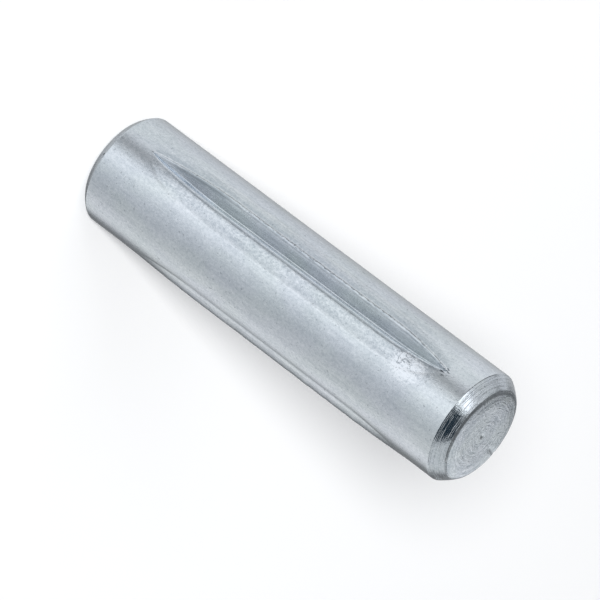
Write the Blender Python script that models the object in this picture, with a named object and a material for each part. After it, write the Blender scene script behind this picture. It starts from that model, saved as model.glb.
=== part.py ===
"""A grooved pin: a round steel pin with chamfered ends and three cold-formed grooves.

The pin stands upright on its lower end face. Its axis is Z and the origin is the centre of
that face. The blank is turned: a round bar with a chamfer at each end. Three straight V
grooves are then pressed into it, evenly round the pin, and the steel that they push aside
stands up beside each groove as a raised crest. The crests make the pin a little wider than
the hole it is driven into, and the plain stretch before each groove guides it in. A groove
has a round root, straight flanks and rounded lips, and runs out in a curve at both ends.

Lengths are in metres. A section is drawn in its own plane as Vector((out, across)), with
the groove's centre line along the first axis.
"""

import math

import bmesh
import bpy
from mathutils import Vector

# The turned blank
PIN_DIAMETER = 0.009525
PIN_LENGTH = 0.0381
LOWER_CHAMFER_LENGTH = 0.00086
LOWER_CHAMFER_DEPTH = 0.00072
UPPER_CHAMFER_LENGTH = 0.00119
UPPER_CHAMFER_DEPTH = 0.00088
CORNER_RADIUS = 0.00022

# The pressed grooves
GROOVE_COUNT = 3
FIRST_GROOVE_AZIMUTH = math.radians(-90)
GROOVE_DEPTH = 0.00088
GROOVE_ANGLE = math.radians(62)
ROOT_RADIUS = 0.00012
LIP_RADIUS = 0.00036
LOWER_PILOT = 0.0038
UPPER_PILOT = 0.0036
LOWER_RUNOUT = 0.0086
UPPER_RUNOUT = 0.0062

# The steel raised beside each groove
CREST_HEIGHT = 0.00021
SWELL_HALF_ANGLE = math.radians(27)

# How finely each curve is divided
CORNER_STEPS = 3
ROOT_STEPS = 4
FLANK_STEPS = 2
LIP_STEPS = 5
SWELL_STEPS = 5
LAND_STEPS = 7
RUNOUT_STEPS = 12
MIDDLE_STEPS = 3

MERGE_DISTANCE = 1e-6
SMOOTH_ANGLE = math.radians(30)


def clear_scene():
    """Remove whatever the file opened with."""
    for thing in list(bpy.data.objects):
        bpy.data.objects.remove(thing, do_unlink=True)


def polar(radius, angle):
    """A point at a distance from the section's centre and an angle from its first axis."""
    return Vector((radius * math.cos(angle), radius * math.sin(angle)))


def arc(centre, radius, start, end, steps):
    """Points round an arc, both ends included."""
    return [centre + polar(radius, start + (end - start) * k / steps) for k in range(steps + 1)]


def fillet(before, corner, after):
    """Points that round one corner of the turned profile."""
    to_before = (before - corner).normalized()
    to_after = (after - corner).normalized()
    half_angle = to_before.angle(to_after) / 2
    centre = corner + (to_before + to_after).normalized() * CORNER_RADIUS / math.sin(half_angle)
    tangent = CORNER_RADIUS / math.tan(half_angle)
    first = corner + to_before * tangent - centre
    last = corner + to_after * tangent - centre
    start = math.atan2(first.y, first.x)
    turn = last.angle_signed(first)
    return arc(centre, CORNER_RADIUS, start, start + turn, CORNER_STEPS)


def end_profile(chamfer_length, chamfer_depth, length_to_middle):
    """The profile of one end as (radius, distance from the end), from its face to the bar."""
    radius = PIN_DIAMETER / 2
    centre = Vector((0, 0))
    face_corner = Vector((radius - chamfer_depth, 0))
    bar_corner = Vector((radius, chamfer_length))
    middle = Vector((radius, length_to_middle))
    return fillet(centre, face_corner, bar_corner) + fillet(face_corner, bar_corner, middle)


def flank_meets_crest(start, direction, reach):
    """How far along a flank its distance from the pin's axis becomes reach."""
    along = start.dot(direction)
    return math.sqrt(along * along + reach * reach - start.dot(start)) - along


def crest_height(share):
    """How high the lips stand, which grows with the area of the groove and so of the steel."""
    return CREST_HEIGHT * share * share


def swell_height(angle, lip_angle, share):
    """How far the steel stands up at an angle from the groove's centre line.

    It is highest at the lip and slopes evenly down to a foot that draws in as the groove does.
    """
    reach = (SWELL_HALF_ANGLE - lip_angle) * share
    if angle - lip_angle >= reach:
        return 0
    return crest_height(share) * (1 - (angle - lip_angle) / reach)


def half_section(share):
    """One side of a groove and the land beside it, from the root to halfway to the next groove.

    The share is how far the tool has sunk there, from 0 at a groove's tip to 1 along its
    middle. At 0 the groove and its crest have closed up to a single point of the round bar.
    """
    radius = PIN_DIAMETER / 2
    half_angle = GROOVE_ANGLE / 2
    flank = polar(1, half_angle)
    into_steel = Vector((-flank.y, flank.x))

    root_radius = ROOT_RADIUS * share
    root_centre = Vector((radius - GROOVE_DEPTH * share + root_radius, 0))
    root = arc(root_centre, root_radius, math.pi, math.pi / 2 + half_angle, ROOT_STEPS)

    lip_radius = LIP_RADIUS * share
    crest_radius = radius + crest_height(share)
    centre_line = root[-1] + into_steel * lip_radius
    travel = flank_meets_crest(centre_line, flank, crest_radius - lip_radius)
    lip_centre = centre_line + flank * travel
    lip_angle = math.atan2(lip_centre.y, lip_centre.x)
    lip = arc(lip_centre, lip_radius, half_angle - math.pi / 2, lip_angle, LIP_STEPS)

    flank_points = [root[-1].lerp(lip[0], k / FLANK_STEPS) for k in range(1, FLANK_STEPS)]

    swell = []
    for k in range(1, SWELL_STEPS + 1):
        angle = lip_angle + (SWELL_HALF_ANGLE - lip_angle) * k / SWELL_STEPS
        swell.append(polar(radius + swell_height(angle, lip_angle, share), angle))

    half_turn = math.pi / GROOVE_COUNT
    land = []
    for k in range(1, LAND_STEPS + 1):
        angle = SWELL_HALF_ANGLE + (half_turn - SWELL_HALF_ANGLE) * k / LAND_STEPS
        land.append(polar(radius, angle))
    return root + flank_points + lip + swell + land


def section(share):
    """The whole outline of the pin where the grooves have sunk to a given share."""
    half = half_section(share)
    mirrored = [Vector((point.x, -point.y)) for point in reversed(half[1:])]
    outline = []
    for groove in range(GROOVE_COUNT):
        azimuth = FIRST_GROOVE_AZIMUTH + groove * math.tau / GROOVE_COUNT
        turn_x = polar(1, azimuth)
        turn_y = Vector((-turn_x.y, turn_x.x))
        for point in mirrored + half[:-1]:
            outline.append(turn_x * point.x + turn_y * point.y)
    return outline


def runout(tip, reach):
    """Heights and shares from a groove's tip to its full depth.

    A groove ends in a quarter of an ellipse, because the tool's edge is round there.
    """
    stations = []
    for k in range(RUNOUT_STEPS + 1):
        angle = math.pi / 2 * k / RUNOUT_STEPS
        stations.append((tip + reach * (1 - math.cos(angle)), math.sin(angle)))
    return stations


def groove_stations():
    """Heights and shares along the grooves, from their lower tips to their upper tips."""
    groove_length = PIN_LENGTH - LOWER_PILOT - UPPER_PILOT
    room = min(1, groove_length / (LOWER_RUNOUT + UPPER_RUNOUT))
    lower = runout(LOWER_PILOT, LOWER_RUNOUT * room)
    upper = runout(PIN_LENGTH - UPPER_PILOT, -UPPER_RUNOUT * room)
    start = lower[-1][0]
    end = upper[-1][0]
    if room < 1:
        return lower + upper[-2::-1]
    middle = [(start + (end - start) * k / MIDDLE_STEPS, 1) for k in range(1, MIDDLE_STEPS)]
    return lower + middle + upper[::-1]


def rings():
    """Every section of the pin with its height, from the lower face to the upper face."""
    bar_radius = PIN_DIAMETER / 2
    plain = section(0)
    lower = end_profile(LOWER_CHAMFER_LENGTH, LOWER_CHAMFER_DEPTH, PIN_LENGTH / 2)
    upper = end_profile(UPPER_CHAMFER_LENGTH, UPPER_CHAMFER_DEPTH, PIN_LENGTH / 2)
    stack = []
    for radius, height in lower:
        stack.append(([point * radius / bar_radius for point in plain], height))
    for height, share in groove_stations():
        stack.append((section(share), height))
    for radius, depth in reversed(upper):
        stack.append(([point * radius / bar_radius for point in plain], PIN_LENGTH - depth))
    return stack


def skin_between(mesh, lower, upper):
    """Join two rings of vertices with a band of four-sided faces."""
    count = len(lower)
    for k in range(count):
        after = (k + 1) % count
        mesh.faces.new((lower[k], lower[after], upper[after], upper[k]))


def pin_mesh():
    """Loft the sections into one closed body with flat end faces."""
    mesh = bmesh.new()
    levels = []
    for outline, height in rings():
        levels.append([mesh.verts.new((point.x, point.y, height)) for point in outline])
    for lower, upper in zip(levels, levels[1:]):
        skin_between(mesh, lower, upper)
    end_faces = [mesh.faces.new(levels[0][::-1]), mesh.faces.new(levels[-1])]
    bmesh.ops.poke(mesh, faces=end_faces)
    bmesh.ops.remove_doubles(mesh, verts=mesh.verts, dist=MERGE_DISTANCE)
    bmesh.ops.recalc_face_normals(mesh, faces=mesh.faces)

    data = bpy.data.meshes.new("grooved_pin")
    mesh.to_mesh(data)
    mesh.free()
    data.shade_smooth()
    data.set_sharp_from_angle(angle=SMOOTH_ANGLE)
    return data


def zinc_plated_steel():
    """Pale, slightly blue zinc plating with a satin gloss."""
    material = bpy.data.materials.new("zinc_plated_steel")
    material.use_nodes = True
    shader = material.node_tree.nodes["Principled BSDF"]
    shader.inputs["Base Color"].default_value = (0.56, 0.61, 0.65, 1)
    shader.inputs["Metallic"].default_value = 1
    shader.inputs["Roughness"].default_value = 0.36
    return material


def build():
    """Model the pin, which is one piece of steel."""
    clear_scene()
    pin = bpy.data.objects.new("grooved_pin", pin_mesh())
    pin.data.materials.append(zinc_plated_steel())
    bpy.context.scene.collection.objects.link(pin)


build()
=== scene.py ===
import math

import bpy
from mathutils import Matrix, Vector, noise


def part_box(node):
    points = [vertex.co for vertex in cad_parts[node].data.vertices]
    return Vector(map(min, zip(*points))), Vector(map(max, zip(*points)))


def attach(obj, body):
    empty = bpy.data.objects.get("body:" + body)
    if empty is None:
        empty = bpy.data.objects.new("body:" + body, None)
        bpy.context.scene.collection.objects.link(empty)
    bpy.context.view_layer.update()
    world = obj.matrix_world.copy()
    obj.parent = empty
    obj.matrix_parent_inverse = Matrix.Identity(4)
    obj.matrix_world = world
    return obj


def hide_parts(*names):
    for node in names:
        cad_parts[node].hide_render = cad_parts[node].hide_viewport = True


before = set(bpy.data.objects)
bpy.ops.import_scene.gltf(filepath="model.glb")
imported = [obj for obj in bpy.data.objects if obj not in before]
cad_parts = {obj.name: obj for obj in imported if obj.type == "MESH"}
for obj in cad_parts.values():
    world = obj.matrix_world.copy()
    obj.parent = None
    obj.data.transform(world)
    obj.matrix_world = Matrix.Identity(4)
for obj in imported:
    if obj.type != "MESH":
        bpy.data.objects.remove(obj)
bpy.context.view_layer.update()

# %% [markdown]
# # A grooved pin, dressed for its photograph
#
# A grooved pin is a short steel bar that is driven into a plain drilled hole and stays there.
# Three V grooves are rolled into it. The steel that the rollers push aside stands up beside each
# groove, and those crests bite into the hole. The pin is then zinc plated, which leaves it a pale,
# slightly blue grey with a satin gloss.
#
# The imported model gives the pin's place and size, and the lines above load it. This lesson makes
# its fine surface: a smooth body with every small corner, the plating's grain, the turning marks,
# and the light it stands in.

# The grooves start above this height.
PLAIN_END = 0.003

PIN_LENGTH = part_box("grooved_pin")[1].z
packed_places = [vertex.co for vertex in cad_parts["grooved_pin"].data.vertices]
BODY_RADIUS = max(place.xy.length for place in packed_places if place.z < PLAIN_END)
print("pin length", round(PIN_LENGTH, 6), "body radius", round(BODY_RADIUS, 6))

# %% [markdown]
# ## The pin's own sizes
#
# These are the sizes a toolmaker would read off the drawing. The chamfers are not alike: the end
# that stands up in the model is the longer one. A groove is a V with a round root, and it runs out
# at both ends in a curve, because the roller's edge is round.

# %% Sizes, in metres
# A chamfer is its length along the pin and its depth.
LOWER_CHAMFER = (0.00086, 0.00072)
UPPER_CHAMFER = (0.00119, 0.00088)
OUTER_CORNER = 0.00020
INNER_CORNER = 0.00044

# A flank's angle is from the middle plane of its groove, a tip is a height, and a run-out is a
# length along the pin.
GROOVE_COUNT = 3
FIRST_GROOVE = math.radians(-90)
GROOVE_DEPTH = 0.00088
FLANK_ANGLE = math.radians(33)
ROOT_RADIUS = 0.00009
LIP_RADIUS = 0.00036
LOWER_TIP = 0.0038
UPPER_TIP = PIN_LENGTH - 0.0036
LOWER_RUNOUT = 0.0086
UPPER_RUNOUT = 0.0062

# At the swell angle from that plane, the crest has sloped down to the bar.
CREST_HEIGHT = 0.00021
SWELL_ANGLE = math.radians(27)
SHOULDER_DIP = 0.00003
print("groove length", round(1000 * (UPPER_TIP - LOWER_TIP), 2), "mm")

# %% [markdown]
# ## The crest beside a groove
#
# The steel that the roller pushed aside stands highest at the groove's lip and slopes down to the
# plain bar. Its top is round, because the die rubbed it, and its foot is soft, with a shallow dip
# where the roller's shoulder pressed the bar. A short formula for each draws them smoother than
# placing points by eye would.

# %% The crest's slope
# Places on the crest, from 0 at the lip to 1 at its foot
TOP_ROUND = 0.14
FOOT_START = 0.9
FOOT_END = 1.1
SHOULDER_PLACE = 0.92
SHOULDER_INNER_REACH = 0.42
SHOULDER_OUTER_REACH = 0.08


def crest_slope(away):
    """The crest's share of its full height at a place on it."""
    slope_length = 1 - TOP_ROUND / 2
    if away < TOP_ROUND:
        return 1 - away**2 / (2 * TOP_ROUND) / slope_length
    if away < FOOT_START:
        return 1 - (away - TOP_ROUND / 2) / slope_length
    foot_height = (1 - FOOT_START) / slope_length
    return foot_height * (max(0.0, FOOT_END - away) / (FOOT_END - FOOT_START)) ** 2


def shoulder(away):
    """The share of the dip along the foot, which is steep on its far side."""
    reach = SHOULDER_OUTER_REACH if away > SHOULDER_PLACE else SHOULDER_INNER_REACH
    return math.exp(-(((away - SHOULDER_PLACE) / reach) ** 2) / 2)


print("crest left where the foot starts", round(crest_slope(FOOT_START), 3))

# %% [markdown]
# ## One side of a groove
#
# A cross-section of the pin is nearly the same shape three times over, and each third is nearly
# the same on both sides of its groove. So it is enough to draw one sixth of the outline: round
# the root, up the flank, over the lip, down the crest beside it and along the plain round bar.
#
# The share says how far the roller has sunk at that height, from 0 at a groove's tip to 1 along
# its middle. Everything about the groove shrinks with it, so at a tip the groove closes up to a
# single point.

# %% The outline of one sixth of the pin
ROOT_STEPS = 6
FLANK_STEPS = 4
LIP_STEPS = 12
SWELL_STEPS = 18
LAND_STEPS = 10
SIXTH_STEPS = ROOT_STEPS + FLANK_STEPS + LIP_STEPS + SWELL_STEPS + LAND_STEPS
LEAST_SHARE = 0.001


def polar(radius, angle):
    return Vector((radius * math.cos(angle), radius * math.sin(angle)))


def arc(centre, radius, start, end, steps):
    return [centre + polar(radius, start + (end - start) * k / steps) for k in range(steps + 1)]


def sixth_outline(share, lip_wear=0.0, softness=1.0, lean=0.0):
    """Points from a groove's root to halfway to the next groove, as (out, across).

    The wear is the share of the crest that is missing, the softness makes the lip rounder, and
    the lean opens the flank.
    """
    flank_angle = FLANK_ANGLE + lean
    flank = polar(1, flank_angle)
    into_steel = Vector((-flank.y, flank.x))
    root_radius = ROOT_RADIUS * share
    root_centre = Vector((BODY_RADIUS - GROOVE_DEPTH * share + root_radius, 0))
    root = arc(root_centre, root_radius, math.pi, math.pi / 2 + flank_angle, ROOT_STEPS)

    crest = CREST_HEIGHT * share * share * (1 - lip_wear)
    lip_radius = LIP_RADIUS * share * softness
    start = root[-1] + into_steel * lip_radius
    along = start.dot(flank)
    reach = BODY_RADIUS + crest - lip_radius
    lip_centre = start + flank * (math.sqrt(along**2 + reach**2 - start.dot(start)) - along)
    lip_angle = math.atan2(lip_centre.y, lip_centre.x)
    lip = arc(lip_centre, lip_radius, flank_angle - math.pi / 2, lip_angle, LIP_STEPS)
    side = [root[-1].lerp(lip[0], k / FLANK_STEPS) for k in range(1, FLANK_STEPS)]

    swell = []
    for k in range(1, SWELL_STEPS + 1):
        beyond = (SWELL_ANGLE - lip_angle) * k / SWELL_STEPS
        away = k / SWELL_STEPS / max(share, LEAST_SHARE)
        rise = crest * crest_slope(away) - SHOULDER_DIP * share * shoulder(away)
        swell.append(polar(BODY_RADIUS + rise, lip_angle + beyond))

    land_angle = math.pi / GROOVE_COUNT - SWELL_ANGLE
    land_turns = [SWELL_ANGLE + land_angle * k / LAND_STEPS for k in range(1, LAND_STEPS + 1)]
    land = [polar(BODY_RADIUS, turn) for turn in land_turns]
    return root + side + lip + swell + land


print("points in one sixth", len(sixth_outline(1)))

# %% [markdown]
# ## Where the roller stood
#
# A groove's bottom is level along its middle and rises in a quarter of an ellipse at each end.
# The rings of the body are set close together there, and fairly close along the middle, so that
# the lips can be a little uneven, as rolled steel is.

# %% The heights of the rings and how far the groove has sunk at each
# The body is cut in two passes, and the second cuts every part that the first made.
PASS_CUTS = 13
RING_STEPS = (PASS_CUTS + 1) ** 2
PLAIN_STEPS = 8
RUNOUT_STEPS = 52


def spread(start, end, steps):
    return [start + (end - start) * k / steps for k in range(steps)]


def groove_runout(tip, reach):
    turns = [math.pi / 2 * k / RUNOUT_STEPS for k in range(RUNOUT_STEPS + 1)]
    return [(tip + reach * (1 - math.cos(turn)), math.sin(turn)) for turn in turns]


def ring_stations(bar_start, bar_end):
    """Heights and shares of all the body's rings, from its lower corner to its upper corner."""
    lower = groove_runout(LOWER_TIP, LOWER_RUNOUT)
    upper = groove_runout(UPPER_TIP, -UPPER_RUNOUT)[::-1]
    middle_steps = RING_STEPS - 2 * PLAIN_STEPS - 2 * RUNOUT_STEPS
    middle = [(height, 1.0) for height in spread(lower[-1][0], upper[0][0], middle_steps)]
    start = [(height, 0.0) for height in spread(bar_start, LOWER_TIP, PLAIN_STEPS)]
    end = [(height, 0.0) for height in spread(bar_end, UPPER_TIP, PLAIN_STEPS)][::-1]
    return start + lower[:-1] + middle + upper + end


print("rings along the body", RING_STEPS + 1)

# %% [markdown]
# ## The turned ends
#
# Each end is faced and chamfered on a lathe, and tumbling rounds its two corners, the inner one
# more. The chamfer is crowned a little and the face rolls off towards its rim. The tool leaves
# fine rings on the face, a few thousandths of a millimetre deep, and a small centre mark. The
# profile runs from the bar inwards to the axis, so each of its points is one extrusion of the
# ring before it.

# %% The profile of one end
CORNER_STEPS = 7
CHAMFER_PLACES = (0.07, 0.2, 0.35, 0.5, 0.65, 0.8, 0.93)
CHAMFER_CROWN = 0.00002
ROLL_START = 0.62
RIM_ROLL = 0.00007
FACE_RINGS = 26
FIRST_GAP = 0.3
SMOOTH_RINGS = 2
RIDGE_DEPTH = 0.000006
RIDGE_BEAT = 2.4
PIP_RADIUS = 0.00006
PIP_DEPTH = 0.00004


def rounded_corner(before, corner, after, size):
    to_before = (before - corner).normalized()
    to_after = (after - corner).normalized()
    half_angle = to_before.angle(to_after) / 2
    centre = corner + (to_before + to_after).normalized() * size / math.sin(half_angle)
    tangent = size / math.tan(half_angle)
    first = corner + to_before * tangent - centre
    last = corner + to_after * tangent - centre
    start = math.atan2(first.y, first.x)
    return arc(centre, size, start, start + last.angle_signed(first), CORNER_STEPS)


def rolled_off(point, rim):
    """Lower the profile near the rim of the face, most at the rim itself."""
    inside = (point.x / rim - ROLL_START) / (1 - ROLL_START)
    outside = (BODY_RADIUS - point.x) / (BODY_RADIUS - rim)
    share = max(0.0, min(inside, outside))
    return Vector((point.x, point.y + RIM_ROLL * share**2))


def face_rings(rim):
    """Points from the rim of the face to its centre mark, with the ridges of the tool."""
    points = []
    for k in range(1, FACE_RINGS + 1):
        walk = (k - 1 + FIRST_GAP) / (FACE_RINGS - 1 + FIRST_GAP)
        ridge = RIDGE_DEPTH * (0.5 + 0.5 * math.sin(k * RIDGE_BEAT)) if k > SMOOTH_RINGS else 0.0
        pip = PIP_DEPTH if k == FACE_RINGS else 0.0
        points.append(Vector((rim + (PIP_RADIUS - rim) * walk, ridge + pip)))
    return points


def end_profile(chamfer):
    """Points as (radius, distance below the end), from the bar to the middle of the face."""
    length, depth = chamfer
    bar = Vector((BODY_RADIUS, 3 * length))
    bar_corner = Vector((BODY_RADIUS, length))
    face_corner = Vector((BODY_RADIUS - depth, 0))
    outer = rounded_corner(bar, bar_corner, face_corner, OUTER_CORNER)
    inner = rounded_corner(bar_corner, face_corner, Vector((0, 0)), INNER_CORNER)
    slope = (inner[0] - outer[-1]).normalized()
    outwards = Vector((-slope.y, slope.x))
    cone = []
    for k in CHAMFER_PLACES:
        cone.append(outer[-1].lerp(inner[0], k) + outwards * CHAMFER_CROWN * 4 * k * (1 - k))
    whole = outer + cone + inner + face_rings(inner[-1].x)
    return [rolled_off(point, BODY_RADIUS - depth) for point in whole]


print("points in an end profile", len(end_profile(UPPER_CHAMFER)))

# %% [markdown]
# ## The blank on the lathe
#
# The body starts as an open cylinder, with one column of faces for every point that the pressed
# outline will need.

# %% Add the open cylinder
COLUMNS = 2 * GROOVE_COUNT * SIXTH_STEPS
lower_profile = end_profile(LOWER_CHAMFER)
upper_profile = end_profile(UPPER_CHAMFER)
BAR_START = lower_profile[0].y
BAR_END = PIN_LENGTH - upper_profile[0].y

bpy.ops.object.select_all(action="DESELECT")
bpy.ops.mesh.primitive_cylinder_add(
    vertices=COLUMNS,
    radius=BODY_RADIUS,
    depth=BAR_END - BAR_START,
    end_fill_type="NOTHING",
    location=(0, 0, (BAR_START + BAR_END) / 2),
)
pin = bpy.context.object
pin.name = "plated_pin"
bpy.ops.object.transform_apply(location=True, rotation=True, scale=True)
print("columns round the pin", COLUMNS)

# %% [markdown]
# ## Facing and chamfering
#
# The blank's two open ends are carried round the corners, down the chamfers and over the faces by
# extruding and shrinking the edge ring, one step for each point of the profile. The last ring is
# merged into a point, which closes the pole. A spin could draw the same shape, but its columns
# would then have to be matched to the body's.

# %% Turn the two ends
TOLERANCE = 1e-6


def select_vertices(chosen):
    """Select the vertices whose place passes a test, in edit mode."""
    bpy.ops.object.mode_set(mode="EDIT")
    bpy.ops.mesh.select_mode(type="VERT")
    bpy.ops.mesh.select_all(action="DESELECT")
    bpy.ops.object.mode_set(mode="OBJECT")
    for vertex in pin.data.vertices:
        vertex.select = chosen(vertex.co)
    bpy.ops.object.mode_set(mode="EDIT")


def turn_end(profile, end_height, outward):
    start_height = end_height - outward * profile[0].y
    select_vertices(lambda place: abs(place.z - start_height) < TOLERANCE)
    for before, after in zip(profile, profile[1:]):
        rise = outward * (before.y - after.y)
        middle = (0, 0, end_height - outward * after.y)
        shrink = after.x / before.x
        bpy.ops.mesh.extrude_region_move(TRANSFORM_OT_translate={"value": (0, 0, rise)})
        bpy.ops.transform.resize(value=(shrink, shrink, 1), center_override=middle)
    bpy.ops.mesh.extrude_region_move(TRANSFORM_OT_translate={"value": (0, 0, 0)})
    bpy.ops.mesh.merge(type="CENTER")
    bpy.ops.object.mode_set(mode="OBJECT")


turn_end(lower_profile, 0, -1)
turn_end(upper_profile, PIN_LENGTH, 1)
print("vertices on the blank", len(pin.data.vertices))

# %% [markdown]
# ## Rings along the body
#
# The body needs many rings before it can be pressed. Its lengthwise edges are subdivided twice,
# so a body of one long row of faces becomes a fine net.

# %% Cut the body into rings
def cut_long_edges():
    """Cut each lengthwise edge of the body into equal parts."""
    bpy.ops.object.mode_set(mode="EDIT")
    bpy.ops.mesh.select_mode(type="EDGE")
    bpy.ops.mesh.select_all(action="DESELECT")
    bpy.ops.object.mode_set(mode="OBJECT")
    for edge in pin.data.edges:
        ends = [pin.data.vertices[k].co for k in edge.vertices]
        low, high = sorted(place.z for place in ends)
        upright = high - low > TOLERANCE
        on_body = abs(ends[0].xy.length - BODY_RADIUS) < TOLERANCE
        inside = low > BAR_START - TOLERANCE and high < BAR_END + TOLERANCE
        edge.select = upright and on_body and inside
    bpy.ops.object.mode_set(mode="EDIT")
    bpy.ops.mesh.subdivide(number_cuts=PASS_CUTS)
    bpy.ops.object.mode_set(mode="OBJECT")


cut_long_edges()
cut_long_edges()
print("vertices before pressing", len(pin.data.vertices))

# %% [markdown]
# ## How the roller worked
#
# A roller doesn't press every place alike. The crests are a little uneven, and always lower than
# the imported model's, never higher. At the upper end both sides of a groove open in the same way.
# At the lower end the roller leaned: one side opens late, with a shallower flank and a softer
# lip, and the other stays crisper. Each side is 1 or -1 here, its sign across the groove.

# %% The pressed outline at one height
LIP_POINT = ROOT_STEPS + FLANK_STEPS + LIP_STEPS // 2
LONG_WAVE = 0.0045
SHORT_WAVE = 0.0007

# How pointed a groove's end is on each side: above 1, it opens later than the roller's path
UPPER_POINT = 1.5
LOWER_POINT = {1: 1.25, -1: 2.2}
LOWER_SOFTNESS = {1: 0.8, -1: 2.0}
LOWER_LEAN = {1: 0.0, -1: math.radians(24)}


def unevenness(height, groove, side):
    """How much of the crest is missing at a height, from 0 to about a fifth."""
    # Each of the six lips reads its own strand of the noise.
    strand = 10 * groove + 4 * side
    long_wave = noise.noise(Vector((strand, 1.7, height / LONG_WAVE)))
    short_wave = noise.noise(Vector((strand, 8.3, height / SHORT_WAVE)))
    return max(0.0, 0.03 + 0.09 * long_wave + 0.10 * short_wave)


def pressed_outline(height, share, groove, side):
    """Places in the groove's own directions, with each point's distance from the lip."""
    softness, lean, point_power = 1.0, 0.0, UPPER_POINT
    if height < PIN_LENGTH / 2:
        softness += LOWER_SOFTNESS[side] * (1 - share)
        lean = LOWER_LEAN[side] * (1 - share)
        point_power = LOWER_POINT[side]
    wear = unevenness(height, groove, side)
    outline = sixth_outline(share**point_power, wear, softness, lean)
    walked = [0.0]
    for before, after in zip(outline, outline[1:]):
        walked.append(walked[-1] + (after - before).length)
    return [(point, walk - walked[LIP_POINT]) for point, walk in zip(outline, walked)]


print("the lip is point", LIP_POINT, "of", SIXTH_STEPS)

# %% [markdown]
# ## Pressing the grooves
#
# Pressing moves steel, it doesn't cut it, so no vertex is added here. Each one keeps its ring and
# its column and goes to the place that the outline gives it. Blender has no tool for a rolled
# groove with crests that grow and die away, so this step moves the vertices in code.
#
# Three numbers are kept for each vertex: its distance from the nearest lip, in millimetres, less
# than zero inside the groove, the share that the roller has sunk, and its side of the groove.

# %% Press the three grooves
COLUMN_TURN = math.tau / COLUMNS
THIRD = 2 * SIXTH_STEPS

# For the two poles, which belong to no outline
FAR_FROM_LIP = 5.0

stations = ring_stations(BAR_START, BAR_END)
from_lip = [FAR_FROM_LIP] * len(pin.data.vertices)
sunk = [0.0] * len(pin.data.vertices)
side_of = [0.0] * len(pin.data.vertices)
drawn = {}
for vertex in pin.data.vertices:
    radius = vertex.co.xy.length
    if radius < PIP_RADIUS / 2:
        continue
    turn = math.atan2(vertex.co.y, vertex.co.x) - FIRST_GROOVE
    column = round(turn / COLUMN_TURN) % COLUMNS
    third, step = divmod(column + SIXTH_STEPS, THIRD)
    groove = third % GROOVE_COUNT
    side = 1 if step >= SIXTH_STEPS else -1
    height, share = vertex.co.z, 0.0
    if BAR_START < height < BAR_END:
        ring = round((height - BAR_START) / (BAR_END - BAR_START) * RING_STEPS)
        height, share = stations[ring]
    if (height, groove, side) not in drawn:
        drawn[height, groove, side] = pressed_outline(height, share, groove, side)
    point, distance = drawn[height, groove, side][abs(step - SIXTH_STEPS)]
    out = polar(radius / BODY_RADIUS, FIRST_GROOVE + groove * math.tau / GROOVE_COUNT)
    across = Vector((-out.y, out.x)) * side
    place = out * point.x + across * point.y
    vertex.co = (place.x, place.y, height)
    from_lip[vertex.index] = 1000 * distance
    sunk[vertex.index] = share
    side_of[vertex.index] = side
print("outlines drawn", len(drawn))

# %% [markdown]
# ## Closing the mesh
#
# The three numbers go on the mesh as attributes, which the materials can read. At a groove's tip
# the root and the lips have come together, so vertices that share a place are merged. The normals
# are then made to point outwards, and the surface is smoothed except at real edges.

# %% Keep the three numbers on the mesh, and close what the press brought together
MERGE_DISTANCE = 4e-7
SMOOTH_ANGLE = math.radians(32)

for name, values in (("from_lip", from_lip), ("sunk", sunk), ("side", side_of)):
    attribute = pin.data.attributes.new(name, "FLOAT", "POINT")
    attribute.data.foreach_set("value", values)

bpy.ops.object.mode_set(mode="EDIT")
bpy.ops.mesh.select_all(action="SELECT")
bpy.ops.mesh.remove_doubles(threshold=MERGE_DISTANCE)
bpy.ops.mesh.normals_make_consistent(inside=False)
bpy.ops.object.mode_set(mode="OBJECT")
bpy.ops.object.shade_smooth_by_angle(angle=SMOOTH_ANGLE)
pin.data.calc_loop_triangles()
print("vertices", len(pin.data.vertices), "triangles", len(pin.data.loop_triangles))

# %% [markdown]
# ## A nick in the rim
#
# Loose pins knock together in the barrel. This one has a short nick that runs outwards over the
# rim of its upper face and a little way down the chamfer. The vertices near its line are chosen by
# their place and moved down, a wide strip first and then a narrow one inside it.

# %% Press the nick
NICK_START = Vector((-0.00074, 0.00232))
NICK_AT_RIM = Vector((-0.00138, 0.00366))
NICK_DROP = 0.0004

# Each strip is half its width and how deep it is pressed.
NICK_STRIPS = ((0.00015, 0.000012), (0.00007, 0.000024))


def near_nick(place, half_width):
    along = (NICK_AT_RIM - NICK_START).normalized()
    walk = (place.xy - NICK_START).dot(along)
    off = abs((place.xy - NICK_START).cross(along))
    return place.z > PIN_LENGTH - NICK_DROP and walk > 0 and off < half_width


for half_width, depth in NICK_STRIPS:
    select_vertices(lambda place: near_nick(place, half_width))
    print("vertices in the strip", pin.data.total_vert_sel)
    bpy.ops.transform.translate(value=(0, 0, -depth))
    bpy.ops.object.mode_set(mode="OBJECT")
print("nick pressed, top at", round(max(v.co.z for v in pin.data.vertices), 6))

# %% [markdown]
# ## Writing shaders as sums
#
# The plating is a sum of many small effects, so its nodes are written as arithmetic. A Wire is one
# value in a shader, and Python's own signs between two of them add a Math node.

# %% A value in a shader
class Wire:
    def __init__(self, recipe, socket):
        self.recipe = recipe
        self.socket = socket

    def __add__(self, other):
        return self.recipe.math("ADD", self, other)

    def __radd__(self, other):
        return self.recipe.math("ADD", other, self)

    def __sub__(self, other):
        return self.recipe.math("SUBTRACT", self, other)

    def __rsub__(self, other):
        return self.recipe.math("SUBTRACT", other, self)

    def __mul__(self, other):
        return self.recipe.math("MULTIPLY", self, other)

    def __rmul__(self, other):
        return self.recipe.math("MULTIPLY", other, self)


print("signs for shader values: + - *")

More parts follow.
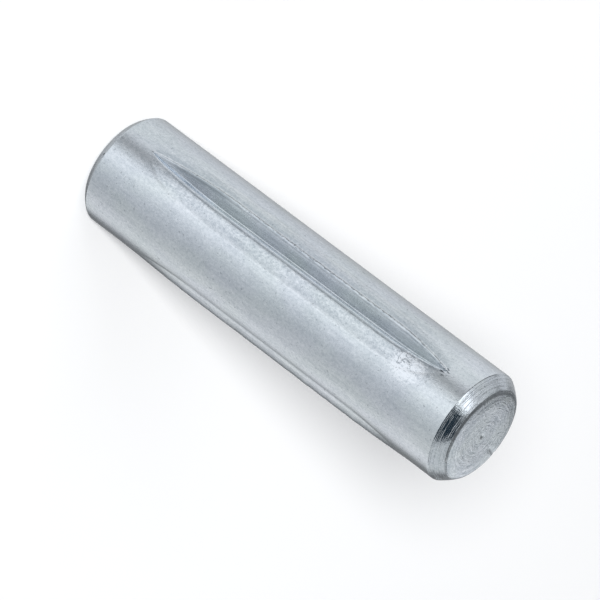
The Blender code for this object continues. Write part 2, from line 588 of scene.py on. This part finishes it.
# %% [markdown]
# A Recipe holds the nodes of one material or world. Its method node adds any node, with its
# settings first and then the values or links of its sockets. The other methods are short names for
# the nodes that the plating uses most: a soft step, a mix of two colours, noise, a number kept on
# the mesh, and a row of colour stops.

# %% The nodes of one material or world
class Recipe:
    def __init__(self, tree):
        self.tree = tree

    def node(self, kind, settings=None, inputs=None, output=0):
        made = self.tree.nodes.new(kind)
        for name, value in (settings or {}).items():
            setattr(made, name, value)
        for name, value in (inputs or {}).items():
            if isinstance(value, Wire):
                self.tree.links.new(value.socket, made.inputs[name])
            else:
                made.inputs[name].default_value = value
        return Wire(self, made.outputs[output]) if made.outputs else None

    def math(self, operation, *values):
        return self.node("ShaderNodeMath", {"operation": operation}, dict(enumerate(values)))

    def step(self, value, start, end):
        """A soft step from 0 to 1 as a value goes from start to end."""
        inputs = {"Value": value, "From Min": start, "From Max": end}
        return self.node("ShaderNodeMapRange", {"interpolation_type": "SMOOTHSTEP"}, inputs)

    def blend(self, share, first, second):
        """A colour between two colours."""
        return self.node("ShaderNodeMix", {"data_type": "RGBA"}, {0: share, 6: first, 7: second}, 2)

    def noise(self, place, scale, detail=2.0, rough=0.5, swirl=0.0):
        inputs = {"Vector": place, "Scale": scale, "Detail": detail, "Roughness": rough}
        inputs["Distortion"] = swirl
        return self.node("ShaderNodeTexNoise", {}, inputs, "Fac")

    def number(self, name):
        """A number kept on the mesh."""
        return self.node("ShaderNodeAttribute", {"attribute_name": name}, {}, "Fac")

    def ramp(self, value, stops):
        """A colour read from a row of stops, each with a place from 0 to 1 and a colour."""
        wire = self.node("ShaderNodeValToRGB", {}, {"Fac": value})
        row = wire.socket.node.color_ramp
        row.interpolation = "EASE"
        while len(row.elements) < len(stops):
            row.elements.new(0.5)
        for element, (position, colour) in zip(row.elements, stops):
            element.position = position
            element.color = colour
        return wire


print("nodes ready")

# %% [markdown]
# ## Where on the pin the shader is
#
# The patterns are measured in millimetres from the centre of the lower face. The stretched place
# makes long marks that follow the bar, and the turned place makes rings: it keeps only the
# direction from the axis, nearly, and the radius or height, many times enlarged.

# %% Places for the patterns
def millimetres(recipe, scale=(1, 1, 1)):
    place = recipe.node("ShaderNodeTexCoord", {}, {}, "Object")
    scaled = tuple(1000 * part for part in scale)
    return recipe.node("ShaderNodeMapping", {}, {"Vector": place, "Scale": scaled})


def parts(recipe, vector):
    split = recipe.node("ShaderNodeSeparateXYZ", {}, {"Vector": vector}).socket.node
    return [Wire(recipe, socket) for socket in split.outputs]


def height_on_pin(recipe):
    return parts(recipe, millimetres(recipe))[2]


def turned_place(recipe, round_scale, across):
    """A place that changes slowly round the pin and fast with the given distance."""
    flat = millimetres(recipe, (1, 1, 0))
    direction = recipe.node("ShaderNodeVectorMath", {"operation": "NORMALIZE"}, {0: flat})
    x, y = parts(recipe, direction)[:2]
    inputs = {"X": x * round_scale, "Y": y * round_scale, "Z": across}
    return recipe.node("ShaderNodeCombineXYZ", {}, inputs)


def spot(recipe, place, radius):
    """How much a place is inside a mark round a point; all in millimetres."""
    points = {0: millimetres(recipe), 1: place}
    away = recipe.node("ShaderNodeVectorMath", {"operation": "DISTANCE"}, points, "Value")
    return recipe.step(away, radius, radius * 0.4)


print("pin height in the shader", round(1000 * PIN_LENGTH, 3), "mm")

# %% [markdown]
# ## The plating
#
# Zinc is laid down as fine crystals, so the surface has a grain of about a tenth of a millimetre,
# over soft blotches some millimetres across where the bath and the tumbling left it duller. The
# chromate dip after the zinc leaves a faint cast that drifts from yellow to violet, and here and
# there is a dark pinhole. The grain is in the colour and the bump together, because one cause
# makes both.

# %% The patterns and colours of zinc
PALE_ZINC = (0.866, 0.913, 0.952, 1)
DULL_ZINC = (0.505, 0.560, 0.608, 1)
# Dark pits, cracks and specks, and also the painted shade on the lip crowns near the lower end.
DARK_PITS_AND_SHADE = (0.09, 0.11, 0.13, 1)
YELLOW_CAST = (0.989, 0.995, 0.978, 1)
VIOLET_CAST = (0.996, 0.991, 1.0, 1)


def plating(recipe, grain_strength):
    """The share of pale zinc and the height of the grain, both about 0.5."""
    fine = recipe.noise(millimetres(recipe, (1, 1, 0.75)), scale=5.5, rough=0.6)
    finest = recipe.noise(millimetres(recipe), scale=13.0, detail=1.0)
    cloud = recipe.noise(millimetres(recipe, (1, 1, 0.6)), scale=0.55, rough=0.55)
    patch = recipe.noise(millimetres(recipe, (1, 1, 0.7)), scale=1.7, swirl=0.6)
    grain = fine * 0.65 + finest * 0.35
    blotches = (cloud - 0.5) * 0.26 + (patch - 0.5) * 0.32
    return (grain - 0.5) * grain_strength + blotches + 0.5, grain


def pinholes(recipe):
    """Sparse dark specks."""
    return recipe.step(recipe.noise(millimetres(recipe), scale=4.3, detail=1.0), 0.67, 0.77) * 0.35


def zinc_colour(recipe, pale, dark):
    """The plating's colour, from its share of pale zinc and its share of dark marks; both shares
    also carry painted light and shade.
    """
    drift = recipe.noise(millimetres(recipe, (1, 1, 0.4)), scale=0.5, detail=1.0)
    cast = recipe.blend(recipe.step(drift, 0.36, 0.64), YELLOW_CAST, VIOLET_CAST)
    metal = recipe.blend(pale, DULL_ZINC, PALE_ZINC)
    tinted = recipe.node("ShaderNodeVectorMath", {"operation": "MULTIPLY"}, {0: metal, 1: cast})
    return recipe.blend(dark, tinted, DARK_PITS_AND_SHADE)


print("plating colours", PALE_ZINC[:3], DULL_ZINC[:3])

# %% [markdown]
# Every surface of the pin ends in the same metal shader, so two helpers start a material and
# finish it.

# %% Start and finish a material
def new_material(name):
    material = bpy.data.materials.new(name)
    material.use_nodes = True
    material.node_tree.nodes.clear()
    return material, Recipe(material.node_tree)


def finish_metal(recipe, colour, roughness, height, depth):
    """Join the patterns to a metal surface; the depth of the bumps is in metres."""
    bump = recipe.node("ShaderNodeBump", {}, {"Height": height, "Distance": depth})
    inputs = {"Base Color": colour, "Metallic": 1.0, "Roughness": roughness, "Normal": bump}
    surface = recipe.node("ShaderNodeBsdfPrincipled", {}, inputs)
    recipe.node("ShaderNodeOutputMaterial", {}, {"Surface": surface})


print("materials so far", len(bpy.data.materials))

# %% [markdown]
# ## The crisp lip
#
# The roller leaned a little to one side of each groove. On the other side the lip is crisp, and
# two lines are painted along it: a thin dark line of painted shade just outside its outer edge, and
# a bright line of painted highlight on its crown. Both come and go along the pin. The places are
# measured from the lip, in millimetres.

# %% The painted shade and highlight along the lip
# Where each line starts and ends, and how soft its edges are
LIP_SHADE_BAND = (0.02, 0.26, 0.08)
LIP_HIGHLIGHT_BAND = (-0.14, 0.04, 0.06)


def band(recipe, value, start, end, blur):
    """1 between start and end, with its soft edges inside them."""
    return recipe.step(value, start, start + blur) * recipe.step(value, end, end - blur)


def leaning_side(recipe):
    """1 on the side of each groove that the roller leaned on, and 0 on the other."""
    return recipe.step(recipe.number("side"), 0.0, -0.6)


def lip_shade_and_highlight(recipe):
    """The painted shade and the painted highlight along the lip, each from 0 to 1."""
    ragged = recipe.noise(millimetres(recipe, (1, 1, 0.4)), scale=5.0, rough=0.6)
    away = recipe.number("from_lip") + (ragged - 0.5) * 0.3
    low_end = recipe.step(height_on_pin(recipe), 18, 14)
    deep = recipe.step(recipe.number("sunk") - low_end * 0.3, 0.3, 0.65)
    crisp = deep * (1.0 - leaning_side(recipe))
    # A thin dark line of painted shade just outside the crisp lip, and a bright line of painted
    # highlight on its crown.
    lip_shade = band(recipe, away, *LIP_SHADE_BAND) * crisp
    lip_highlight = band(recipe, away, *LIP_HIGHLIGHT_BAND) * crisp
    broken = recipe.noise(millimetres(recipe, (1, 1, 0.5)), scale=2.6, detail=1.0)
    return lip_shade * recipe.step(broken, 0.25, 0.5), lip_highlight * recipe.step(broken, 0.56, 0.44)


# These print the widths of the painted shade and the painted highlight along the lip.
print("lip_shade", round(LIP_SHADE_BAND[1] - LIP_SHADE_BAND[0], 2), "mm wide")
print("burnished line", round(LIP_HIGHLIGHT_BAND[1] - LIP_HIGHLIGHT_BAND[0], 2), "mm wide")

# %% [markdown]
# ## The torn lip and its painted shade
#
# On the side that the roller leaned on, the lip's crown is dull and ragged, and a fine crack
# wanders along it. Towards the lower end the crack stops and the crown is painted darker: painted
# shade that keeps it from catching a highlight, so the groove fades softly into the bar there.

# %% The dull crown, its painted shade, and the crack
CRACK_PLACE = 0.06
CRACK_WANDER = 0.55
CRACK_REACH = 0.05


def torn_lip_and_shade(recipe):
    """What the torn lip and its painted shade add to the pale share, and how dark they are."""
    away = recipe.number("from_lip")
    z = height_on_pin(recipe)
    low_end = recipe.step(z, 14, 8)
    torn = recipe.noise(millimetres(recipe, (1, 1, 0.5)), scale=3.5, rough=0.6)
    crown = recipe.step(away, -0.3 - low_end * 0.3, -0.12) * recipe.step(away, 0.04, -0.03)
    crest = recipe.step(away, 0.8, 0.3) * recipe.step(away, 0.12, 0.2)
    foot = recipe.step(away, 0.0, 0.06) * recipe.step(away, 0.24, 0.16)
    # Near the lower end the crown is painted darker still: painted shade.
    pale = foot * 0.3 - crest * 0.3 - crown * (torn * 1.6 - 0.25 + low_end * 0.3)

    wander = recipe.noise(millimetres(recipe, (1, 1, 0.6)), scale=2.6, detail=3.0, rough=0.7)
    off = recipe.math("ABSOLUTE", away - CRACK_PLACE + (wander - 0.5) * CRACK_WANDER)
    crack = recipe.step(off, CRACK_REACH, CRACK_REACH * 0.3)
    crack = crack * recipe.step(torn, 0.4, 0.52) * (1.0 - low_end)
    # Painted shade: near the lower end the crown is darkened so that it doesn't catch a highlight.
    low_end_shade = crown * low_end * recipe.step(z, 4.5, 7)
    there = recipe.step(recipe.number("sunk"), 0.02, 0.25) * leaning_side(recipe)
    return pale * there, (crack * 0.6 + low_end_shade * 0.34) * there


print("crack", 2 * CRACK_REACH, "mm wide at most")

# %% [markdown]
# ## A painted highlight and torn steel round the groove
#
# A pale line along each crest's foot is a painted highlight, where the foot would catch the light.
# Where the roller lifted away from the groove's upper tip, it tore a few black specks out of the
# steel.

# %% The foot's painted highlight and the torn specks
# The line's distance from the lip, and how much more or less it is on side 1 or -1
FOOT_PLACE = 1.33
FOOT_SHIFT = 0.12
UPPER_TIP_SPOT = (0.1, -4.72, 34.4)


def foot_highlight(recipe):
    """A painted highlight along each crest's foot, from 0 to 1."""
    away = recipe.number("from_lip") - FOOT_PLACE - recipe.number("side") * FOOT_SHIFT
    line = recipe.step(recipe.math("ABSOLUTE", away), 0.22, 0.05)
    return line * recipe.step(recipe.number("sunk"), 0.5, 0.95)


def tip_pits(recipe):
    """Black specks round the groove's upper tip, from 0 to 1."""
    torn = recipe.noise(millimetres(recipe, (1, 1, 0.35)), scale=8.0, rough=0.6, swirl=0.5)
    return spot(recipe, UPPER_TIP_SPOT, 0.62) * recipe.step(torn, 0.53, 0.58) * 0.9


print("specks near", UPPER_TIP_SPOT, "mm")

# %% [markdown]
# ## The plain bar
#
# The bar was drawn through a die, which leaves faint long streaks. Beside the grooves it is bruised
# by the roller's shoulders: its grain is coarser there, with small burnished flats between duller
# hollows. Near the upper end one patch is crusted with bright zinc, with dark crinkles in it.

# %% The patterns of the bar
CRUST_SPOT = (1.40, -4.55, 31.9)
CRINKLE_SPOT = (1.3, -4.58, 31.3)


def bruise(recipe):
    """How much a place was bruised: most just outside a groove, and more on its crisp side."""
    near = recipe.step(recipe.number("from_lip"), 1.9, 0.7)
    return near * recipe.step(recipe.number("sunk"), 0.1, 0.5) * (1.0 - leaning_side(recipe) * 0.6)


def crinkle_lines(recipe):
    """Thin dark lines, drawn where a noise passes its middle value."""
    folds = recipe.noise(
        millimetres(recipe, (1, 1, 0.8)), scale=1.3, detail=3.0, rough=0.6, swirl=1.2
    )
    lines = recipe.step(recipe.math("ABSOLUTE", folds - 0.5), 0.03, 0.0)
    return lines * spot(recipe, CRINKLE_SPOT, 1.1)


bar_material, bar = new_material("plated_bar")
bar_bruise = bruise(bar)
bar_streaks = bar.noise(millimetres(bar, (1, 1, 0.05)), scale=2.4, rough=0.6)
bruise_flats = bar.noise(
    millimetres(bar, (1, 1, 0.7)), scale=2.4, detail=3.0, rough=0.65, swirl=1.2
)
crust = spot(bar, CRUST_SPOT, 1.8)
crinkles = crinkle_lines(bar)
print("bar pattern nodes", len(bar_material.node_tree.nodes))

# %% [markdown]
# The patterns are now weighed against each other. A surface this simple has no single mark that
# makes it look real, so the weights matter more than the patterns: most of them shift the plating
# by only a few shades. The bar's last millimetres, past the grooves' tips, are a shade paler.

# %% The bar's material
# The lip's painted shade and painted highlight on the bar.
bar_lip_shade, bar_lip_highlight = lip_shade_and_highlight(bar)
# The torn lip, with its painted shade near the lower end.
bar_torn_and_shade, bar_crack_and_shade = torn_lip_and_shade(bar)
bar_pale, bar_grain = plating(bar, 1.5 + bar_bruise * 1.1)
bar_pale = bar_pale + bar_bruise * (bruise_flats - 0.6) + (bar_streaks - 0.5) * 0.5
bar_pale = bar_pale + crust * (bruise_flats * 1.7 + bar_grain * 4.2 - 2.2 - crinkles * 1.2)
bar_pale = bar_pale + bar.step(height_on_pin(bar), 32.5, 35.0) * 0.13
# This adds the lip's painted shade and highlight, the torn lip with its painted shade, and the
# foot's painted highlight.
bar_pale = bar_pale - bar_lip_shade * 0.8 + bar_lip_highlight * 0.3 + bar_torn_and_shade + foot_highlight(bar) * 0.24
bar_height = bar_grain + bar_bruise * bruise_flats + crust * (bruise_flats * 1.2 - crinkles * 1.5)
bar_dark = bar.math("MAXIMUM", pinholes(bar) + bar_crack_and_shade, tip_pits(bar))
bar_colour = zinc_colour(bar, bar_pale, bar_dark)
bar_rough = 0.235 + bar_bruise * 0.04
finish_metal(bar, bar_colour, roughness=bar_rough, height=bar_height, depth=0.000013)
print("bar material nodes", len(bar_material.node_tree.nodes))

# %% [markdown]
# ## Inside the grooves
#
# The roller's edge slid along the steel as it sank, so the flanks are smoother than the bar, with
# long streaks that follow the groove. Their colour is painted paler than the bar's, and palest near
# the lips and at the lower end: painted light that lifts the groove's shade and dark reflection.

# %% The groove's material
groove_material, groove = new_material("pressed_groove")
groove_pale, groove_grain = plating(groove, 0.9)
# The lip's painted shade and painted highlight in the groove.
groove_lip_shade, groove_lip_highlight = lip_shade_and_highlight(groove)
# The torn lip, with its painted shade near the lower end.
groove_torn_and_shade, groove_crack_and_shade = torn_lip_and_shade(groove)
streaks = groove.noise(millimetres(groove, (1, 1, 0.05)), scale=7.0, rough=0.6)
# Painted light: the flanks are 0.2 paler everywhere, and paler still near the lips and at the lower
# tip.
painted_lip_light = groove.step(groove.number("from_lip"), -0.8, -0.15)
painted_tip_light = groove.step(height_on_pin(groove), 8.0, 5.0)
groove_pale = groove_pale + (streaks - 0.5) + painted_lip_light * 0.1 + painted_tip_light * 0.35 + 0.2
groove_pale = groove_pale + groove_lip_highlight * 0.3 - groove_lip_shade * 0.6 + groove_torn_and_shade
groove_dark = groove.math("MAXIMUM", pinholes(groove) * 0.5 + groove_crack_and_shade, tip_pits(groove))
groove_colour = zinc_colour(groove, groove_pale, groove_dark)
groove_height = groove_grain * 0.4 + streaks
finish_metal(groove, groove_colour, roughness=0.24, height=groove_height, depth=0.000008)
print("groove material nodes", len(groove_material.node_tree.nodes))

# %% [markdown]
# ## The marks of the lathe
#
# The lathe tool leaves rings on the face and scratches that run round the chamfer. Their pattern is
# drawn against one distance that keeps growing from the bar, up the chamfer and across the face.
# On the face the rings wander a little, as the plating has blurred them. One dark speck sits on
# the lower chamfer.

# %% The patterns of the turned ends
CHAMFER_SPECK = (2.32, -4.04, 0.69)
FACE_RIM = 1000 * (BODY_RADIUS - UPPER_CHAMFER[1])

end_material, end = new_material("turned_end")
end_x, end_y, end_z = parts(end, millimetres(end))
end_radius = end.math("SQRT", end_x * end_x + end_y * end_y)
end_walk = end.math("ABSOLUTE", end_z - 1000 * PIN_LENGTH / 2) - end_radius
worn = end.noise(millimetres(end), scale=0.9, rough=0.6, swirl=1.0)
mottle = end.noise(millimetres(end), scale=1.8, detail=3.0, rough=0.65, swirl=1.5)
on_slope = end.step(end_radius, FACE_RIM - 0.1, FACE_RIM + 0.08)
wavy_walk = end_walk + (worn - 0.5) * (1.0 - on_slope) * 0.35
coarse_rings = end.noise(turned_place(end, 1.6, wavy_walk * 4.5), scale=1.0, rough=0.6)
fine_rings = end.noise(turned_place(end, 1.0, wavy_walk * 14.0), scale=1.0, rough=0.6)
end_rings = coarse_rings * 0.6 + fine_rings * 0.4
scratches = end.step(fine_rings, 0.56, 0.66)
print("end pattern nodes", len(end_material.node_tree.nodes))

# %% [markdown]
# The rings show most where the face is worn, and hardly on the chamfer, which the tool left
# brighter and smoother. There the scratches carry the marks instead, in the bump alone.

# %% The ends' material
end_pale, end_grain = plating(end, 1.4)
ring_strength = (1.4 + end.step(worn, 0.4, 0.6) * 2.6) * (1.0 - on_slope * 0.86)
end_pale = end_pale + (end_rings - 0.5) * ring_strength + (mottle - 0.5) * (1.5 - on_slope * 0.7)
end_dark = end.math("MAXIMUM", pinholes(end), spot(end, CHAMFER_SPECK, 0.14))
end_colour = zinc_colour(end, end_pale, end_dark)
end_height = end_grain * 0.15 + mottle * 0.5 + end_rings * 0.5 + scratches * on_slope * 0.5
finish_metal(end, end_colour, roughness=0.19, height=end_height, depth=0.00003)
print("end material nodes", len(end_material.node_tree.nodes))

# %% [markdown]
# ## Which face has which finish
#
# The three finishes meet at the chamfers' edges and at the grooves' lips, and both kinds of edge
# are already in the mesh. So each face takes its material by its height, and by the distance from
# the lip that its corners keep.

# %% Give each face its material
EDGE_OVERLAP = 0.00003
BAR_SLOT, GROOVE_SLOT, END_SLOT = range(3)

for material in (bar_material, groove_material, end_material):
    pin.data.materials.append(material)
lower_edge = LOWER_CHAMFER[0] - EDGE_OVERLAP
upper_edge = PIN_LENGTH - UPPER_CHAMFER[0] + EDGE_OVERLAP
lip_distance = pin.data.attributes["from_lip"].data
sunk_share = pin.data.attributes["sunk"].data
face_counts = [0, 0, 0]
for face in pin.data.polygons:
    inside = sum(lip_distance[corner].value for corner in face.vertices) < 0
    pressed = max(sunk_share[corner].value for corner in face.vertices) > 0
    slot = GROOVE_SLOT if inside and pressed else BAR_SLOT
    if not lower_edge <= face.center.z <= upper_edge:
        slot = END_SLOT
    face.material_index = slot
    face_counts[slot] += 1
print("faces by material", face_counts)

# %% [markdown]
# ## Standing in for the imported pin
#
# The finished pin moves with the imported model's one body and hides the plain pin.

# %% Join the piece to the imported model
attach(pin, "root")
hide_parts("grooved_pin")
print("joined", pin.name)

# %% [markdown]
# ## The camera
#
# The photograph looks down at the standing end of the pin from 26 degrees, through a long lens,
# and is turned until that end points to the lower right.

# %% Add the camera
CAMERA_AZIMUTH = math.radians(27.75)
CAMERA_ELEVATION = math.radians(25.99)
CAMERA_ROLL = math.radians(36.99)
CAMERA_DISTANCE = 0.42481
CAMERA_LENS = 335.9
CAMERA_CLIP = 0.01

# In a picture 600 pixels wide, this is the bar's width, and how far the pin's middle is left of
# the picture's middle and above it.
WIDTH_IN_PIXELS = 125.32
PIXELS_LEFT = 1.45
PIXELS_UP = 2.41
PIXEL = 2 * BODY_RADIUS / WIDTH_IN_PIXELS


def direction(azimuth, elevation):
    """A direction by its angle from the camera's side, towards the viewer's left, and its rise."""
    turn = CAMERA_AZIMUTH - azimuth
    level = math.cos(elevation)
    return Vector((math.sin(turn) * level, -math.cos(turn) * level, math.sin(elevation)))


back = direction(0, CAMERA_ELEVATION)
right = Vector((math.cos(CAMERA_AZIMUTH), math.sin(CAMERA_AZIMUTH), 0))
up = back.cross(right)
camera_x = math.cos(CAMERA_ROLL) * up - math.sin(CAMERA_ROLL) * right
camera_y = -(math.sin(CAMERA_ROLL) * up + math.cos(CAMERA_ROLL) * right)
camera_place = Vector((0, 0, PIN_LENGTH / 2)) + CAMERA_DISTANCE * back
camera_place += PIXELS_LEFT * PIXEL * camera_x - PIXELS_UP * PIXEL * camera_y
bpy.ops.object.camera_add()
camera = bpy.context.object
camera.data.lens = CAMERA_LENS
camera.data.clip_start = CAMERA_CLIP
turned = Matrix((camera_x, camera_y, back)).transposed().to_4x4()
camera.matrix_world = Matrix.Translation(camera_place) @ turned
bpy.context.scene.camera = camera
bpy.context.scene.view_settings.view_transform = "Standard"
print("camera", [round(part, 4) for part in camera_place])

# %% [markdown]
# ## The floor
#
# A plain white floor. Polished metal shows whatever is round it, and the studio's cards are below
# the pin as well as beside it, so reflections look through the floor to the cards.

# %% Add the floor
FLOOR_COLOUR = (0.84, 0.84, 0.843, 1)

bpy.ops.object.select_all(action="DESELECT")
bpy.ops.mesh.primitive_circle_add(vertices=96, radius=1.5, fill_type="NGON", location=(0, 0, 0))
floor = bpy.context.object
floor.name = "floor"
floor.visible_glossy = False
floor_material, floor_recipe = new_material("white_floor")
floor_surface = floor_recipe.node("ShaderNodeBsdfDiffuse", {}, {"Color": FLOOR_COLOUR})
floor_recipe.node("ShaderNodeOutputMaterial", {}, {"Surface": floor_surface})
floor.data.materials.append(floor_material)
print("floor tone", FLOOR_COLOUR[:3])

# %% [markdown]
# ## The studio
#
# Metal has no colour of its own to speak of: its tones are the studio's. White and grey cards
# stand round the pin, painted here on the world as soft patches, each by its direction from the
# camera. The upright side of the pin mirrors the cards below the horizon, and its chamfer mirrors
# the ones halfway up. Real cards would do the same, but on the world each edge can be as soft as
# it needs to be.

# %% Directions and soft patches on the world
# Straight up or down nothing is level, so this keeps the card's division from failing there.
LEAST_LEVEL_SQUARED = 0.0001

world = bpy.data.worlds.new("studio")
bpy.context.scene.world = world
world.use_nodes = True
world.node_tree.nodes.clear()
studio = Recipe(world.node_tree)
sky = studio.node("ShaderNodeTexCoord", {}, {}, "Generated")
sky_x, sky_y, sky_z = parts(studio, sky)
level_squared = studio.math("MAXIMUM", 1.0 - sky_z * sky_z, LEAST_LEVEL_SQUARED)
level = studio.math("SQRT", level_squared)


def rise(degrees):
    return math.sin(math.radians(degrees))


def card(azimuth, half_width, soft, low, high, edge):
    """How much of a card is in a direction, from 0 to 1; all angles in degrees."""
    toward = direction(math.radians(azimuth), 0)
    facing = studio.math("DIVIDE", sky_x * toward.x + sky_y * toward.y, level)
    outer = math.cos(math.radians(min(179, half_width + soft / 2)))
    inner = math.cos(math.radians(half_width - soft / 2))
    mask = studio.step(facing, outer, inner)
    mask = mask * studio.step(sky_z, rise(low - edge), rise(low))
    if high < 90:
        mask = mask * studio.step(sky_z, rise(high + edge), rise(high))
    return mask


def grey(tone, warmth=0.0):
    """The studio's light is a little blue; warmth takes some blue away, or below 0 adds some."""
    return (tone * (0.957 + warmth), tone * 0.975, tone * (1 - warmth), 1)


print("studio nodes", len(world.node_tree.nodes))

# %% [markdown]
# Two lists set the studio up. The ring goes once round the pin below the horizon, and each row is
# an angle from the camera, a tone and a warmth. The cards stand higher: each has its direction,
# half its width, how soft its sides are, its lower and upper angles and how soft those are.

# %% The ring and the cards
RING_OF_CARDS = (
    (-180, 0.42, 0.000),
    (-170, 0.30, 0.000),
    (-158, 0.20, 0.000),
    (-146, 0.20, 0.000),
    (-137, 0.32, 0.000),
    (-129, 0.58, 0.010),
    (-120, 0.84, 0.016),
    (-110, 0.86, 0.016),
    (-98, 0.80, 0.016),
    (-84, 0.69, 0.010),
    (-70, 0.62, 0.000),
    (-56, 0.58, -0.008),
    (-42, 0.61, -0.016),
    (-28, 0.71, -0.016),
    (-14, 0.88, -0.010),
    (-2, 1.05, -0.006),
    (8, 1.08, -0.006),
    (19, 0.92, -0.004),
    (28, 0.62, 0.000),
    (36, 0.38, 0.000),
    (44, 0.39, 0.000),
    (52, 0.70, 0.000),
    (62, 0.86, 0.000),
    (76, 0.88, 0.000),
    (100, 0.84, 0.000),
    (116, 0.80, 0.000),
    (132, 0.71, 0.000),
    (148, 0.60, 0.006),
    (162, 0.48, 0.010),
    (180, 0.50, 0.010),
)
CARDS = {
    "dark wall": ((180, 35, 12, 6, 90, 10), grey(0.19)),
    "dark top": ((180, 78, 20, 44, 90, 8), grey(0.2)),
    "dark corner": ((150, 34, 10, 28, 90, 8), grey(0.2)),
    "back card": ((192, 13, 6, 8, 42, 8), grey(0.8)),
    "black card": ((-23, 44, 5, 20, 66, 8), grey(0.030, -0.45)),
    "dark strip": ((84, 38, 14, -9, 8, 6), grey(0.1)),
    "lamp": ((36, 15, 6, 26, 62, 6), grey(1.75)),
    "ceiling": ((0, 179, 1, 66, 90, 6), grey(0.16)),
}
UPPER_WALL = grey(0.68)
UNDERSIDE = grey(0.6)
print("cards", len(CARDS), "and", len(RING_OF_CARDS), "stops in the ring")

# %% [markdown]
# The ring is laid down first, then the upper wall and the underside, and then the cards one over
# another. The camera itself sees plain white behind the pin.

# %% Paint the studio
front = direction(0, 0)
left = direction(math.pi / 2, 0)
leftward = sky_x * left.x + sky_y * left.y
forward = sky_x * front.x + sky_y * front.y
around = studio.math("ARCTAN2", leftward, forward) * (1 / math.tau) + 0.5
stops = [((azimuth + 180) / 360, grey(tone, warmth)) for azimuth, tone, warmth in RING_OF_CARDS]
light = studio.ramp(around, stops)
light = studio.blend(studio.step(sky_z, 0.1, 0.28), light, UPPER_WALL)
light = studio.blend(studio.step(sky_z, -0.88, -0.97), light, UNDERSIDE)
for place, colour in CARDS.values():
    light = studio.blend(card(*place), light, colour)
seen = studio.node("ShaderNodeLightPath", {}, {}, "Is Camera Ray")
light = studio.blend(seen, light, (1, 1, 1, 1))
background = studio.node("ShaderNodeBackground", {}, {"Color": light, "Strength": 1.0})
studio.node("ShaderNodeOutputWorld", {}, {"Surface": background})
print("studio nodes", len(world.node_tree.nodes))

# %% [markdown]
# ## The lamps
#
# Two soft lamps light the floor and cast the pin's shade on it: a small one for the shade's shape
# and a wide, weak one to soften it. They are left out of reflections, so that neither adds a glint
# of its own to the metal.

# %% Add the two lamps
def add_lamp(name, azimuth, elevation, distance, size, power):
    place = distance * direction(math.radians(azimuth), math.radians(elevation))
    bpy.ops.object.light_add(type="AREA", location=place)
    lamp = bpy.context.object
    lamp.name = name
    lamp.data.shape = "DISK"
    lamp.data.size = size
    lamp.data.energy = power
    lamp.rotation_euler = place.to_track_quat("Z", "Y").to_euler()
    lamp.visible_glossy = False


add_lamp("front lamp", azimuth=1.3, elevation=25.5, distance=2.5, size=0.38, power=107)
add_lamp("high lamp", azimuth=10, elevation=42, distance=2.5, size=1.45, power=11)
